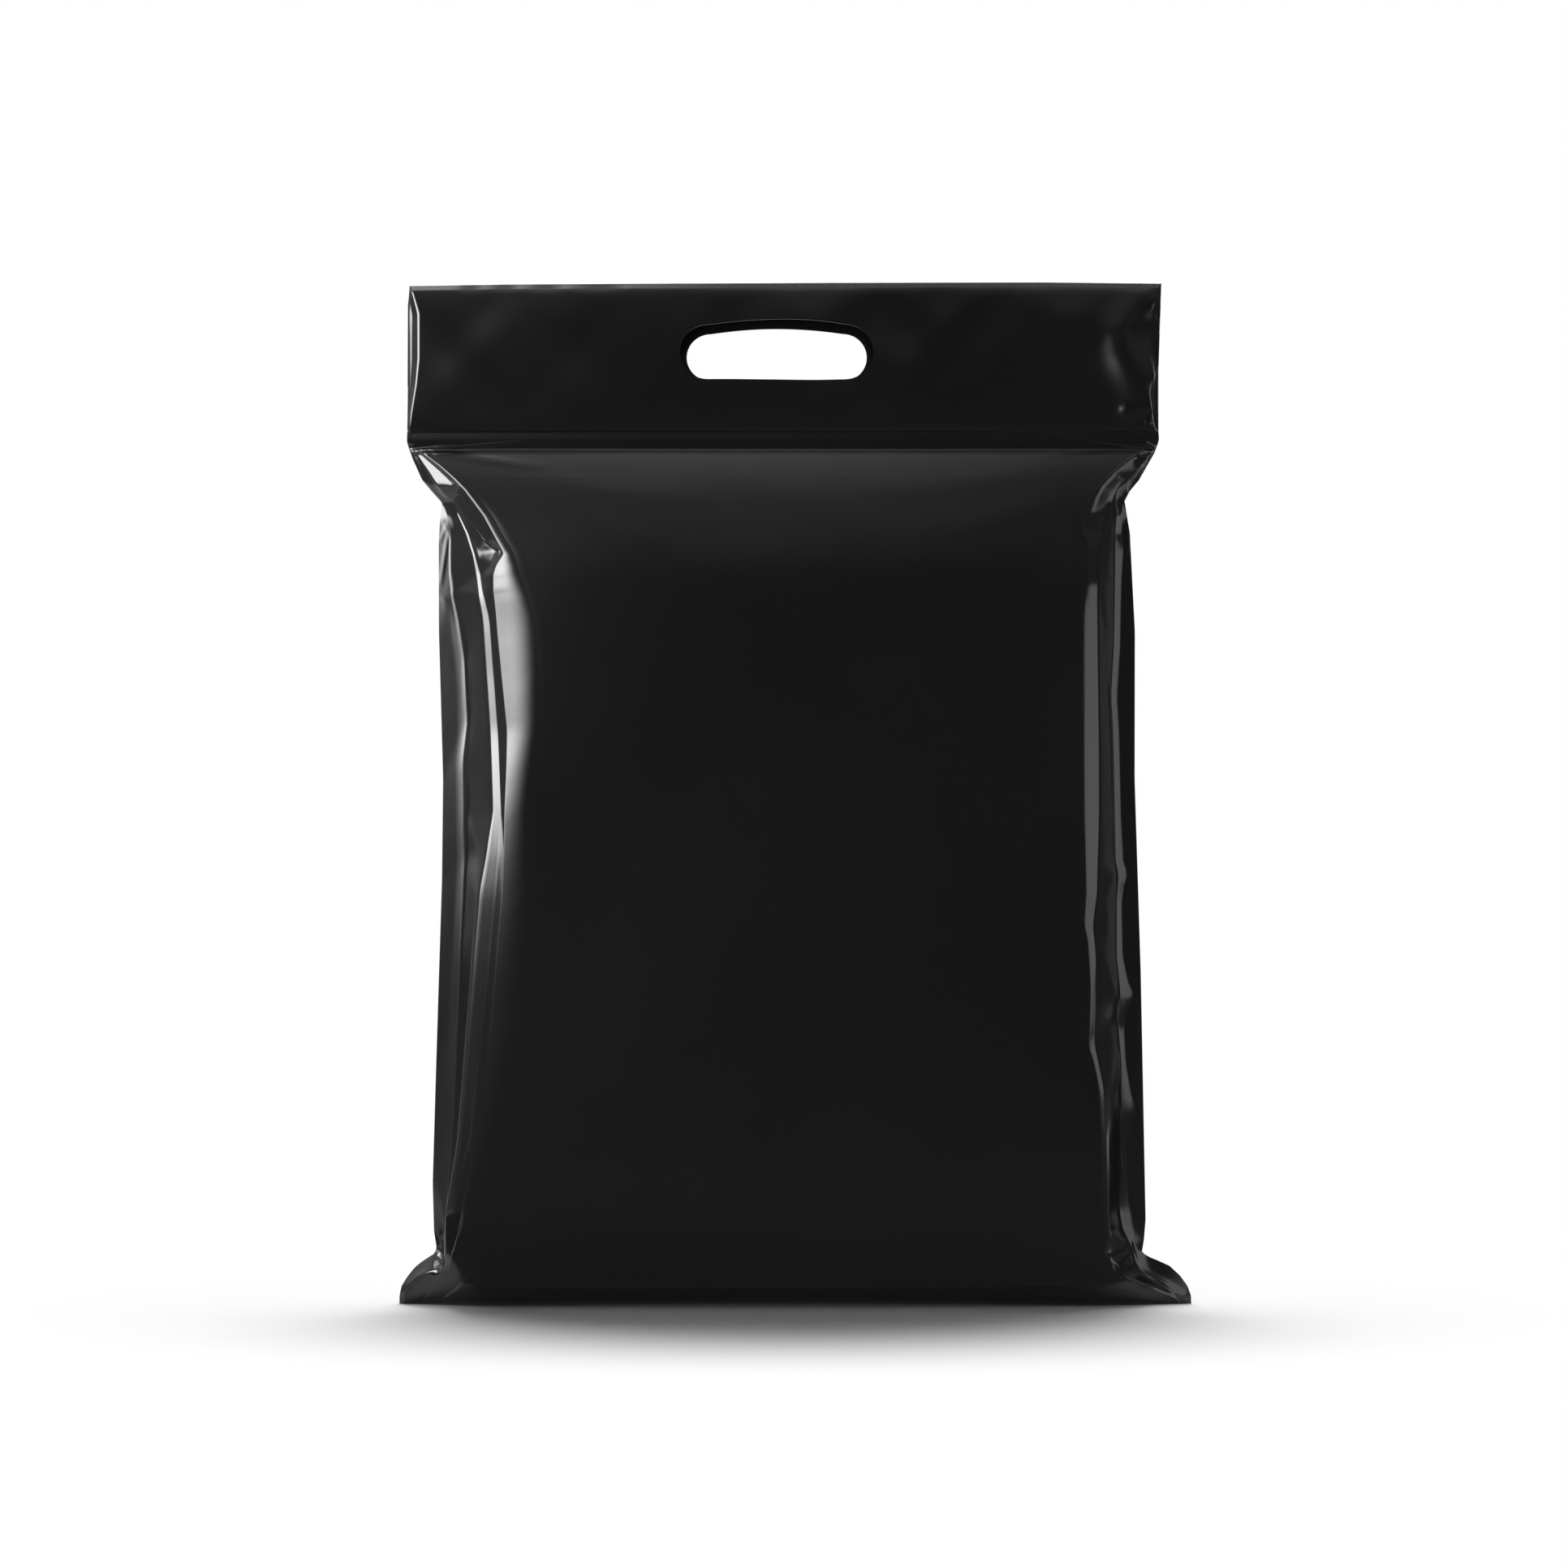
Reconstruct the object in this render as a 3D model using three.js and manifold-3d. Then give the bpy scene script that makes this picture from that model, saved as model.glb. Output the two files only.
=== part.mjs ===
// A glossy black polyethylene mailing bag with a punched carry handle, packed, sealed and standing.
// It is one web of film: folded across the bottom, welded up both sides, with the flap turned over
// the top fold and stuck down on the front. The packed body is solid. The header above it, the flap
// and the back panel, is a hollow pouch that the handle slot opens through both layers.
// Millimetres, +Z up. X runs across the bag, the front faces -Y, and the floor is at Z = 0.

import * as THREE from 'three';
import { mergeVertices } from 'three/addons/utils/BufferGeometryUtils.js';
import Module from 'manifold-3d';

// The web of film. The real film is about 0.07 thick, and its drawn wall is thick enough to be solid.
const webWidth = 400;
const filmWall = 0.9;

// Heights of the closed bag: from the floor to the top fold, and down from the top fold.
const closedHeight = 526;
const flapDepth = 84;

// The weld along the flap's lower edge, and the dark recess under it where the body's bulge starts.
const weldHeight = 3;
const weldRise = 0.5;
const flapStep = 1;
const recessHeight = 5.5;
const creaseDepth = 4.2;
const backCreaseDepth = 2.5;

// The packed body: its depth to each side of the web's plane, the crown of its panels, and the flat base.
const frontDepth = 27;
const backDepth = 27;
const panelCrown = 4;
const baseDepth = 42;
const baseBow = 4;
const footRound = 40;
const shoulderDrop = 100;

// The header pouch between the side creases, from the weld to the top fold.
const headerPuff = 4.6;
const headerRim = 0.35;

// The handle slot in the flap and where it sits. One punch goes through both layers, and the back
// panel, which is stretched less, keeps a slot that is smaller by these margins.
const slotWidth = 100;
const slotHeight = 29;
const slotArch = 2.6;
const slotEndMargin = 3;
const slotEdgeMargin = 2;
const slotDrop = 39;
const backSlotLift = 1;
const slotShift = -7.8;

// The ears, where the bottom fold's corners stick out flat past the packed body.
const earHeight = 26;
const hipHeight = 27;

// Each side's lines, as distances in from the web's edge, the drops of its shoulder folds, and the
// levels of the bites that the packed side pushes into its seam.
const leftSide = {
  ear: 3.4, pinch: 21, foot: 17.6, waist: 20.7, chest: 17.6, notch: 19, header: 0,
  seamFoot: 26, seamWaist: 31, seamBites: [], biteReach: 0,
  ridgeFoot: 45, ridgeWaist: 50, ridgeVertex: 54.5, vertexDrop: 60,
  headerCrease: 7.5, headerStrip: 1.2,
};
const rightSide = {
  ear: 0, pinch: 24, foot: 21, waist: 23.3, chest: 24, notch: 28, header: 7.2,
  seamFoot: 31, seamWaist: 34, seamBites: [104, 159, 217], biteReach: 8,
  ridgeFoot: 45, ridgeWaist: 52, ridgeVertex: 51.5, vertexDrop: 39,
  headerCrease: 13, headerStrip: 8.2,
};
const footLevel = 42;
const waistLevel = 249;
const notchDrop = 27;
const biteRise = 26;
const biteFall = 12;
const seamDepth = 8;
const shelfInset = 14;
const baseShelfInset = 60;
const backRidgeInset = 46;

// How far inside the edge the seam runs at the ear, the pinch, the notch, the crease and the flap,
// and how far inside it the two hip folds meet it.
const seamAtEar = 1.5;
const seamAtPinch = 4;
const seamAtNotch = 5;
const seamAtCrease = 3;
const seamAtFlap = 0.6;
const neckInset = 1;
const lowHipInset = 3;
const hipInset = 9;
const hipDrop = 2;

// How full the side is, as shares of the panel's depth: its ridges where it is packed and where it is flat.
const packedRidge = 0.86;
const flatRidge = 0.12;
const seamShare = 0.4;
const backSideShare = 0.6;
const faceShare = 0.6;

// The round past the ridge: how far across it its two lines run, and how much fuller than straight.
const roundLines = [0.3, 0.65];
const roundFullness = [0.25, 0.2];
const sideFullness = 0.2;

// How square the curves are, as powers: the shoulder, the pouch up from its rim, and across it.
const shoulderPower = 0.7;
const pouchRisePower = 0.6;
const pouchSidePower = 3;
const pouchFillPower = 0.7;

// How finely the surface is divided.
const panelColumns = 16;
const headerSteps = 12;
const shoulderSteps = 12;
const stepUp = 15;
const footSteps = [0, 0.6, 2, 4, 7, 11, 16, 21];
const punchSteps = 10;
const weldPoint = 1e-4;
const leastStep = 0.55;
const flapEdgeStep = 0.3;
const sideColumns = 4;

// Levels that follow from those sizes.
const flapEdge = closedHeight - flapDepth;
const creaseLevel = flapEdge - recessHeight;
const notchLevel = creaseLevel - notchDrop;
const fullLevel = creaseLevel - shoulderDrop;
const weldTop = flapEdge + weldHeight;
const pouchHeight = closedHeight - weldTop;
const halfWeb = webWidth / 2;

const { lerp, clamp, smoothstep } = THREE.MathUtils;

// The value at a level, from [level, value] pairs in rising order, straight between them.
function follow(pairs, level) {
  const above = pairs.findIndex(([at]) => at >= level);
  if (above < 0) return pairs.at(-1)[1];
  if (above === 0) return pairs[0][1];
  const [[lowAt, low], [highAt, high]] = [pairs[above - 1], pairs[above]];
  return lerp(low, high, (level - lowAt) / (highAt - lowAt));
}

// The share of a quarter ellipse's rise, steep at 0 and level at 1.
const quarter = (t) => Math.sqrt(1 - (1 - clamp(t, 0, 1)) ** 2);

// The outline of one side: the ear, the pinch over it, the packed side, the notch and the header.
function edgeInset(side, level) {
  if (level <= earHeight) return lerp(side.pinch, side.ear, quarter(1 - level / earHeight));
  return follow([
    [earHeight, side.pinch], [footLevel, side.foot], [waistLevel, side.waist],
    [creaseLevel - side.vertexDrop, side.chest], [notchLevel, side.notch],
    [creaseLevel, side.header + neckInset], [flapEdge, side.header],
  ], level);
}

// The side seam, with the bites that the packed side pushes into it.
function seamInset(side, level) {
  const edge = edgeInset(side, level);
  if (level >= flapEdge) return (edge + creaseInset(side, level)) / 2;
  const straight = follow([
    [0, side.ear + seamAtEar], [earHeight, side.pinch + seamAtPinch],
    [footLevel, side.seamFoot], [waistLevel, side.seamWaist],
    [notchLevel, side.notch + seamAtNotch], [creaseLevel, side.header + seamAtCrease],
    [flapEdge, side.header + seamAtFlap],
  ], level);
  const bites = side.seamBites.map((at) => {
    const away = level < at ? (at - level) / biteRise : (level - at) / biteFall;
    return 1 - away;
  });
  return straight - side.biteReach * Math.max(0, ...bites);
}

// The crease down the header's side, bowed in from the edge by the pouch.
function creaseInset(side, level) {
  const up = clamp((level - flapEdge) / flapDepth, 0, 1);
  return lerp(side.headerStrip, side.headerCrease, Math.sin(Math.PI * up) ** pouchRisePower);
}

// The ridge between front and side: the hip over the ear, the packed corner, and the hip up to the header.
function ridgeInset(side, level) {
  if (level >= flapEdge) return creaseInset(side, level);
  if (level <= hipHeight) {
    return lerp(side.ear + lowHipInset, side.ridgeFoot, Math.sin((Math.PI / 2) * (level / hipHeight)));
  }
  return follow([
    [hipHeight, side.ridgeFoot], [waistLevel, side.ridgeWaist],
    [creaseLevel - side.vertexDrop, side.ridgeVertex],
    [creaseLevel - hipDrop, side.header + hipInset], [flapEdge, side.headerStrip],
  ], level);
}

// The depth of a packed panel at its shelf lines: the foot's round, the full depth, the shoulder.
function bodyDepth(full, crease, level) {
  const foot = lerp(baseDepth / 2, full, quarter(level / footRound));
  const up = clamp((level - fullLevel) / (creaseLevel - fullLevel), 0, 1);
  return Math.min(foot, lerp(crease, full, (1 - up ** 2) ** shoulderPower));
}

// Half the header pouch's thickness, by how far across and up it, each from the rim at 0.
function pouchDepth(across, up) {
  const rise = Math.sin(Math.PI * clamp(up, 0, 1)) ** pouchRisePower;
  return headerRim + headerPuff * rise * (1 - Math.abs(across) ** pouchSidePower) ** pouchFillPower;
}

// The recess under the flap, the step of the flap's edge, and the weld's bead along it.
function flapRelief(level) {
  if (level < flapEdge) return 0;
  return level <= weldTop ? flapStep + weldRise : flapStep * (1 - (level - weldTop) / pouchHeight);
}

// One side's lines at a level, for the front or the back panel: [x, depth] from the edge inwards.
// The side face is full where the bag is packed and lies flat towards the ears and the header.
function sideLines(side, sign, level, isFront) {
  const depth = bodyDepth(isFront ? frontDepth : backDepth, isFront ? creaseDepth : backCreaseDepth, level);
  const edge = edgeInset(side, level);
  const isPackedSide = level > hipHeight && level < flapEdge;
  const frontRidge = ridgeInset(side, level);
  const ridge = isFront || !isPackedSide ? frontRidge : Math.min(backRidgeInset, frontRidge);
  const seam = isFront ? seamInset(side, level) : (edge + ridge) / 2;
  const shelf = ridge + follow([
    [0, baseShelfInset], [hipHeight, shelfInset],
    [notchLevel, shelfInset], [creaseLevel, 2 * shelfInset], [flapEdge, shelfInset],
  ], level);
  const unpacked = smoothstep(level, notchLevel - notchDrop, creaseLevel);
  const packed = smoothstep(level, 0, hipHeight) * (1 - unpacked);
  const ridgeDepth = Math.max(depth * lerp(flatRidge, packedRidge, packed), filmWall);
  const packedSeam = isFront ? seamDepth : ridgeDepth * backSideShare;
  const seamLine = Math.max(lerp(ridgeDepth * seamShare, packedSeam, packed), filmWall);
  const at = (inset, lineDepth) => [sign * (halfWeb - inset), lineDepth];
  const round = roundLines.map((share, i) => {
    const fuller = share + roundFullness[i] * packed;
    return at(lerp(ridge, shelf, share), lerp(ridgeDepth, depth, fuller));
  });
  return [
    at(edge, 0),
    at(lerp(edge, seam, 0.5), seamLine * faceShare),
    at(seam, seamLine),
    at(lerp(seam, ridge, 0.5), lerp(seamLine, ridgeDepth, 0.5 + sideFullness * packed)),
    at(ridge, ridgeDepth),
    ...round,
    at(shelf, depth),
  ];
}

// One row of a panel from the left edge to the right edge, as [x, depth].
function panelRow(level, isFront) {
  const left = sideLines(leftSide, -1, level, isFront);
  const right = sideLines(rightSide, 1, level, isFront).reverse();
  const [shelfLeft, depth] = left.at(-1);
  const [shelfRight] = right[0];
  const filled = smoothstep(level, 0, footRound);
  const crown = panelCrown * filled * (1 - smoothstep(level, fullLevel, creaseLevel));
  const bow = baseBow * (1 - filled);
  const panel = [];
  for (let i = 1; i < panelColumns; i += 1) {
    const across = (2 * i) / panelColumns - 1;
    const x = lerp(shelfLeft, shelfRight, i / panelColumns);
    panel.push([x, depth + (crown - bow) * (1 - across ** 2)]);
  }
  return [...left, ...panel, ...right];
}

// A header row: the same columns, on the pouch between the side creases.
function headerRow(level, wall) {
  const columns = panelRow(level, true).map(([x]) => x);
  const [creaseLeft, creaseRight] = [columns[sideColumns], columns.at(-1 - sideColumns)];
  const middle = (creaseLeft + creaseRight) / 2;
  const half = (creaseRight - creaseLeft) / 2;
  const up = (level - weldTop) / pouchHeight;
  return columns.map((x, i) => {
    const isEdge = i === 0 || i === columns.length - 1;
    const across = clamp((x - middle) / half, -1, 1);
    return [x, isEdge ? 0 : wall + pouchDepth(across, up)];
  });
}

// The levels of the rows: close together in the foot, the shoulder and the header, and at every line's turn.
function rowLevels() {
  const foot = [...footSteps, earHeight, (hipHeight + footLevel) / 2, footLevel];
  const body = [];
  for (let at = footLevel + stepUp; at < fullLevel; at += stepUp) body.push(at);
  const bites = rightSide.seamBites.flatMap((at) => [at - biteRise, at, at + biteFall]);
  const shoulder = [];
  for (let i = 0; i < shoulderSteps; i += 1) {
    shoulder.push(lerp(fullLevel, creaseLevel, i / shoulderSteps));
  }
  const vertices = [leftSide, rightSide].map((side) => creaseLevel - side.vertexDrop);
  const turns = [...vertices, notchLevel, creaseLevel];
  const all = [...foot, ...body, ...bites, ...shoulder, ...turns].sort((a, b) => a - b);
  return all.filter((at, i) => i === 0 || at - all[i - 1] > leastStep);
}

// A closed solid between front and back rows that meet along both side edges.
// Each end is closed by the strip between its two rows, which vanishes where they are the same line.
function solidBetween(frontRows, backRows) {
  const positions = [];
  const triangles = [];
  const known = new Map();
  const vertex = ([x, y, z]) => {
    const key = [x, y, z].map((v) => Math.round(v / weldPoint)).join();
    if (!known.has(key)) {
      known.set(key, positions.length / 3);
      positions.push(x, y, z);
    }
    return known.get(key);
  };
  const quad = (a, b, c, d) => {
    for (const corners of [[a, b, c], [a, c, d]]) {
      if (new Set(corners).size === 3) triangles.push(...corners);
    }
  };
  const sew = (rows, outward) => {
    for (let j = 1; j < rows.length; j += 1) {
      for (let i = 1; i < rows[j].length; i += 1) {
        const corners = [rows[j - 1][i - 1], rows[j - 1][i], rows[j][i], rows[j][i - 1]].map(vertex);
        quad(...(outward ? corners : corners.reverse()));
      }
    }
  };
  sew(frontRows, true);
  sew(backRows, false);
  sew([backRows[0], frontRows[0]], true);
  sew([frontRows.at(-1), backRows.at(-1)], true);
  const geometry = new THREE.BufferGeometry();
  geometry.setAttribute('position', new THREE.Float32BufferAttribute(positions, 3));
  geometry.setIndex(triangles);
  return geometry;
}

// The whole closed bag from outside: the packed body's rows, then the flap's step and the pouch.
function bagOutside() {
  const front = [];
  const back = [];
  for (const level of rowLevels()) {
    front.push(panelRow(level, true).map(([x, depth]) => [x, -depth, level]));
    back.push(panelRow(level, false).map(([x, depth]) => [x, depth, level]));
  }
  for (const level of headerLevels()) {
    const row = headerRow(level, filmWall);
    const relief = flapRelief(level);
    const last = row.length - 1;
    front.push(row.map(([x, depth], i) => [x, i === 0 || i === last ? 0 : -depth - relief, level]));
    back.push(row.map(([x, depth]) => [x, depth, level]));
  }
  return solidBetween(front, back);
}

// The header's rows: the flap's lower edge, then the pouch from the weld up to the top fold.
function headerLevels() {
  return [flapEdge - flapEdgeStep, flapEdge, ...pouchLevels(closedHeight)];
}

// Levels up the pouch, closer together towards the weld and the top.
function pouchLevels(top) {
  const levels = [];
  for (let i = 0; i < headerSteps; i += 1) {
    levels.push(lerp(weldTop, closedHeight, (1 - Math.cos((Math.PI * i) / headerSteps)) / 2));
  }
  return [...levels, top];
}

// The hollow of the pouch, between the films and inside the creases, the weld and the top fold.
function pouchHollow() {
  const levels = pouchLevels(closedHeight - filmWall);
  const rows = levels.map((level, j) => {
    const isEnd = j === 0 || j === levels.length - 1;
    const between = headerRow(level, 0).slice(sideColumns, -sideColumns);
    return between.map(([x, depth]) => [x, isEnd ? 0 : Math.max(depth - headerRim, 0), level]);
  });
  const front = rows.map((row) => row.map(([x, depth, level]) => [x, -depth, level]));
  return solidBetween(front, rows);
}

// The punch for one slot: round ends, a level lower edge and a top edge that arches in the middle.
function slotPunch(width, height, lift, fromY, toY) {
  const round = height / 2;
  const straight = width / 2 - round;
  const outline = new THREE.Shape();
  outline.moveTo(-straight, -round);
  outline.lineTo(straight, -round);
  outline.absarc(straight, 0, round, -Math.PI / 2, Math.PI / 2, false);
  outline.quadraticCurveTo(0, round + 2 * slotArch, -straight, round);
  outline.absarc(-straight, 0, round, Math.PI / 2, (3 * Math.PI) / 2, false);
  const reach = { depth: toY - fromY, bevelEnabled: false, curveSegments: punchSteps };
  const punch = new THREE.ExtrudeGeometry(outline, reach);
  punch.rotateX(Math.PI / 2);
  punch.translate(slotShift, toY, closedHeight - slotDrop + lift);
  punch.deleteAttribute('normal');
  punch.deleteAttribute('uv');
  return mergeVertices(punch, weldPoint);
}

const wasm = await Module();
wasm.setup();

function toSolid(geometry) {
  return new wasm.Manifold(new wasm.Mesh({
    numProp: 3,
    vertProperties: new Float32Array(geometry.getAttribute('position').array),
    triVerts: new Uint32Array(geometry.getIndex().array),
  }));
}

function toGeometry(solid) {
  const { vertProperties, triVerts } = solid.getMesh();
  const geometry = new THREE.BufferGeometry();
  geometry.setAttribute('position', new THREE.BufferAttribute(vertProperties, 3));
  geometry.setIndex(new THREE.BufferAttribute(triVerts, 1));
  geometry.computeVertexNormals();
  return geometry;
}

function mailerBag() {
  const punchReach = frontDepth + backDepth;
  const frontPunch = slotPunch(slotWidth, slotHeight, 0, -punchReach, 0);
  const backWidth = slotWidth - 2 * slotEndMargin;
  const backHeight = slotHeight - 2 * slotEdgeMargin;
  const backPunch = slotPunch(backWidth, backHeight, backSlotLift, 0, punchReach);
  const bag = toSolid(bagOutside())
    .subtract(toSolid(pouchHollow()))
    .subtract(toSolid(frontPunch))
    .subtract(toSolid(backPunch));
  const film = new THREE.MeshStandardMaterial({ color: 0x151516, roughness: 0.3, metalness: 0 });
  const mesh = new THREE.Mesh(toGeometry(bag), film);
  mesh.name = 'mailer_bag';
  return mesh;
}

const bag = new THREE.Group();
bag.add(mailerBag());

export default bag;
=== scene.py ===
import math

import bpy
import numpy as np
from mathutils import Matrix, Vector
from mathutils.geometry import delaunay_2d_cdt


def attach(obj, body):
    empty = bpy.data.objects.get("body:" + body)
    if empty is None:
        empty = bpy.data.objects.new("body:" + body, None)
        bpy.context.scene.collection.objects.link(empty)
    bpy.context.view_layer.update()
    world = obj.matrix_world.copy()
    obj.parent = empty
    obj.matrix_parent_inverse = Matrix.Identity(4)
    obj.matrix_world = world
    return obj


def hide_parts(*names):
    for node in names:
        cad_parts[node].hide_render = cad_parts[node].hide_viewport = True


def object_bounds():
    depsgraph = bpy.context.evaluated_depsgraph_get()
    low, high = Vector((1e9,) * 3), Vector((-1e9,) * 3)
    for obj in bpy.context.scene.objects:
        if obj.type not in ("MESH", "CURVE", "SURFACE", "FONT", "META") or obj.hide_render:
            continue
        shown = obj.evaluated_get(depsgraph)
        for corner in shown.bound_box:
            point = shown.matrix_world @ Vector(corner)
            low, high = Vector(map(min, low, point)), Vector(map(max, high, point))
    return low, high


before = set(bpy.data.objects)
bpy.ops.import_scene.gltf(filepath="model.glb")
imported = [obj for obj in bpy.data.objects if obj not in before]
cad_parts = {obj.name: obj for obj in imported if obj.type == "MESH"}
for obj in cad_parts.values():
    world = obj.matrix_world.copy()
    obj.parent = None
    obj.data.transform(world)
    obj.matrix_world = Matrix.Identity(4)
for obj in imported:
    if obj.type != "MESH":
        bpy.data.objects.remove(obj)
cad_low, cad_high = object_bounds()

# The view: a short telephoto lens low in front of the bag, tilted up a little so that the header
# is further away than the foot. The image is square.
eye = Vector((-0.004, -1.25, 0.1635))
tilt_up = math.radians(4.55)
sensor = 0.036
focal_share = 1.559

camera = bpy.data.objects.new("camera", bpy.data.cameras.new("camera"))
camera.data.sensor_width = sensor * 1000
camera.data.lens = focal_share * camera.data.sensor_width
camera.location = eye
camera.rotation_euler = (math.radians(90) + tilt_up, 0, 0)
bpy.context.scene.collection.objects.link(camera)
bpy.context.scene.camera = camera
bpy.context.scene.view_settings.view_transform = "Standard"


# The film: one web of glossy black polyethylene, folded across the bottom and welded up both sides.
# Its end is turned over the top as the flap and stuck down on the front. It is one mesh, laid out in
# millimetres as rows of columns that follow the folds.
METRES = 0.001
film_thickness = 0.35
top_fold = cad_high.z / METRES
header_height = 84.0
recess_height = 5.5
flap_edge = top_fold - header_height
crease_level = flap_edge - recess_height
weld_height = 3.4

# How many columns lie between one fold line and the next, from each side edge to the panel.
left_columns = (10, 11, 6, 6, 3, 5, 23)
right_columns = (9, 6, 13, 7, 17)
panel_columns = 90


def along(knots, level):
    """A line's value at each level, straight between its (level, value) knots."""
    levels, values = zip(*knots)
    return np.interp(level, levels, values)


def eased(low, high, value):
    """0 below low, 1 above high, smooth between."""
    t = np.clip((value - low) / (high - low), 0, 1)
    return t * t * (3 - 2 * t)


# The fold lines of the left side from the edge inwards, as (level, x). The groove is the packed
# corner, and above its vertex it is the hip that runs up to the flap's corner.
left_edge = [(0, -198), (4, -198), (9, -197), (14, -193.8), (18, -190.6), (21, -187), (23, -184),
             (25, -180.6), (28, -179.6), (36, -181), (60, -182), (116, -181), (215, -179), (266, -179),
             (342, -182), (389, -182.6), (401, -182), (409, -181), (415, -186.5), (421, -191.5),
             (432, -196.5), (440, -199.4), (515, -200), (526, -199.2)]
left_seam = [(0, -195.4), (4, -195.2), (6, -194.8), (10, -192.6), (15, -187), (18, -180), (20, -177),
             (23, -175.2), (26, -174.4), (37, -174.2), (61, -173.2), (93, -171.4), (147, -169.5),
             (184, -168.5), (224, -167), (249, -168), (275, -168.8), (295, -167), (328, -169),
             (350, -172.5), (362, -175), (371, -176), (390, -176.4), (401, -176.6), (409, -177.4),
             (417, -186), (425, -191), (432, -195), (440, -199)]
band_out = [(0, -192), (4, -191), (10, -187), (15, -181.5), (18, -176.4), (23, -173.4), (26, -173.2),
            (45, -172), (85, -166), (125, -163), (166, -160), (206, -157), (226, -153.6), (247, -150.8),
            (288, -153.2), (317, -155.6), (346, -157.8), (358, -160), (369, -161.6), (380, -163.8),
            (391, -167.4), (402, -172.4), (409, -175.6), (412, -179.5), (417, -184.2), (425, -189),
            (432, -193.4), (440, -198.6)]
band_in = [(0, -189), (4, -187.5), (10, -182), (15, -177), (18, -173.8), (23, -171.8), (26, -171.4),
           (45, -168.5), (85, -159.6), (125, -156), (166, -152), (206, -148.6), (226, -146.8),
           (247, -146.2), (288, -148.8), (317, -151.2), (346, -153.6), (358, -156.8), (369, -158.8),
           (380, -161.8), (391, -165.8), (402, -171.4), (409, -174.8), (412, -178.5), (417, -183.3),
           (425, -188), (432, -192.5), (440, -198.3)]
fan_out = [(0, -187.6), (23, -170.8), (45, -165.8), (125, -153), (206, -146.4), (247, -145),
           (288, -145.8), (317, -149), (346, -151.8), (360, -153.4), (368, -154), (374, -152.4),
           (380.4, -149.4), (386, -157.1), (400.5, -167.4), (408, -173.8), (412.6, -175), (414, -171.4),
           (419, -176), (425, -182.2), (432, -190.4), (440, -198.2)]
fan_in = [(0, -186.8), (23, -170.4), (45, -164.8), (125, -152), (206, -145.6), (247, -144.6),
          (288, -144.6), (317, -148), (346, -151), (360, -152.6), (368, -152.6), (374, -150.4),
          (379.4, -147), (386, -155.8), (400.5, -166.5), (408, -173.2), (412.6, -172), (413.8, -170),
          (419, -175.3), (424.6, -181.3), (432, -190), (440, -198.1)]
groove = [(0, -186), (4, -184), (10, -177), (15, -172.6), (18, -171.2), (23, -170), (26, -169.4),
          (45, -164), (85, -155), (125, -151), (166, -148), (206, -145), (226, -144.4), (247, -144.2),
          (288, -143.6), (317, -147.2), (346, -150.2), (360, -151.8), (368, -151.6), (374, -149),
          (378, -146.2), (388, -151.6), (398, -157), (413, -168), (420, -174.6), (426, -181),
          (434, -190.8), (440, -198)]

# The same lines of the right side. The seam is a flat band with a lip on each side of it.
right_edge = [(0, 201.4), (4, 201.4), (9, 199.6), (14, 196), (19, 190.6), (21.5, 185), (24, 178.9),
              (26, 176.9), (32, 178), (42, 179), (166, 178), (266, 176), (342, 177), (367, 176),
              (393, 175), (402, 173.6), (410, 172.4), (415, 175), (421, 180), (428, 184), (435, 188),
              (441, 190.3), (480, 190.8), (526, 192.8)]
lip_out = [(0, 198), (4, 197), (10, 188), (14, 181), (21, 175.2), (28, 173.2), (37, 172), (50, 170.4),
           (63, 169.4), (72, 169.2), (82, 169.6), (91, 173), (97, 175), (107, 172), (122, 169.4),
           (140, 168.6), (150, 172), (156, 174.3), (162, 171), (175, 168.2), (202, 168), (211, 169.5),
           (217, 171.8), (223, 169.4), (249, 168.2), (288, 167.7), (308, 166.8), (335, 168.8),
           (367, 169.8), (384, 171), (393, 170), (402, 170.4), (409, 171.4), (415, 173.4), (421, 177.6),
           (428, 182.6), (435, 187.2), (441, 190)]
lip_in = [(0, 196.5), (4, 194.5), (10, 184), (14, 177), (21, 172.6), (28, 171), (38, 166.4), (47, 165),
          (56, 165.2), (65, 166.4), (78, 166.2), (86, 166.5), (97, 167), (110, 166.8), (122, 166.6),
          (140, 165.4), (156, 167), (175, 165), (202, 165.2), (217, 166.6), (224, 165), (249, 164.8),
          (288, 164.4), (308, 163.6), (335, 165.4), (367, 166.2), (382, 166.6), (393, 166.8),
          (401, 167.4), (410, 168.4), (420, 174), (427, 180.2), (435, 186.4), (441, 189.7)]
packed_out = [(0, 195.5), (3, 193), (7, 183), (11, 176), (15, 166.4), (20, 161.6), (26, 157),
              (36, 157.6), (45, 157.2), (85, 157), (109, 155.9), (121.5, 153.6), (131, 151.8),
              (150, 152.8), (175, 153.2), (191, 151.8), (206, 154), (247, 155.6), (288, 155.8),
              (364, 156), (378, 156.4), (384, 157.2), (390, 158.6), (399, 162), (409, 165.2),
              (413, 167), (420, 171.6), (426, 178.4), (434, 186), (441, 189.4)]
packed_in = [(0, 194.5), (3, 191), (7, 180), (11, 172), (15, 163), (20, 158.4), (26, 154.6),
             (36, 155.2), (45, 155), (85, 154.9), (109, 154), (121.5, 151.6), (129.5, 148.9),
             (140, 149.8), (160, 150.4), (182, 149.2), (191, 147.3), (206, 148.6), (247, 148.2),
             (288, 148.4), (363, 151), (378, 151.8), (387, 150.8), (392, 148.4), (396, 147.8),
             (409, 155.6), (414, 158.2), (422, 165.6), (432, 177.6), (437, 184.6), (441, 189)]


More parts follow.
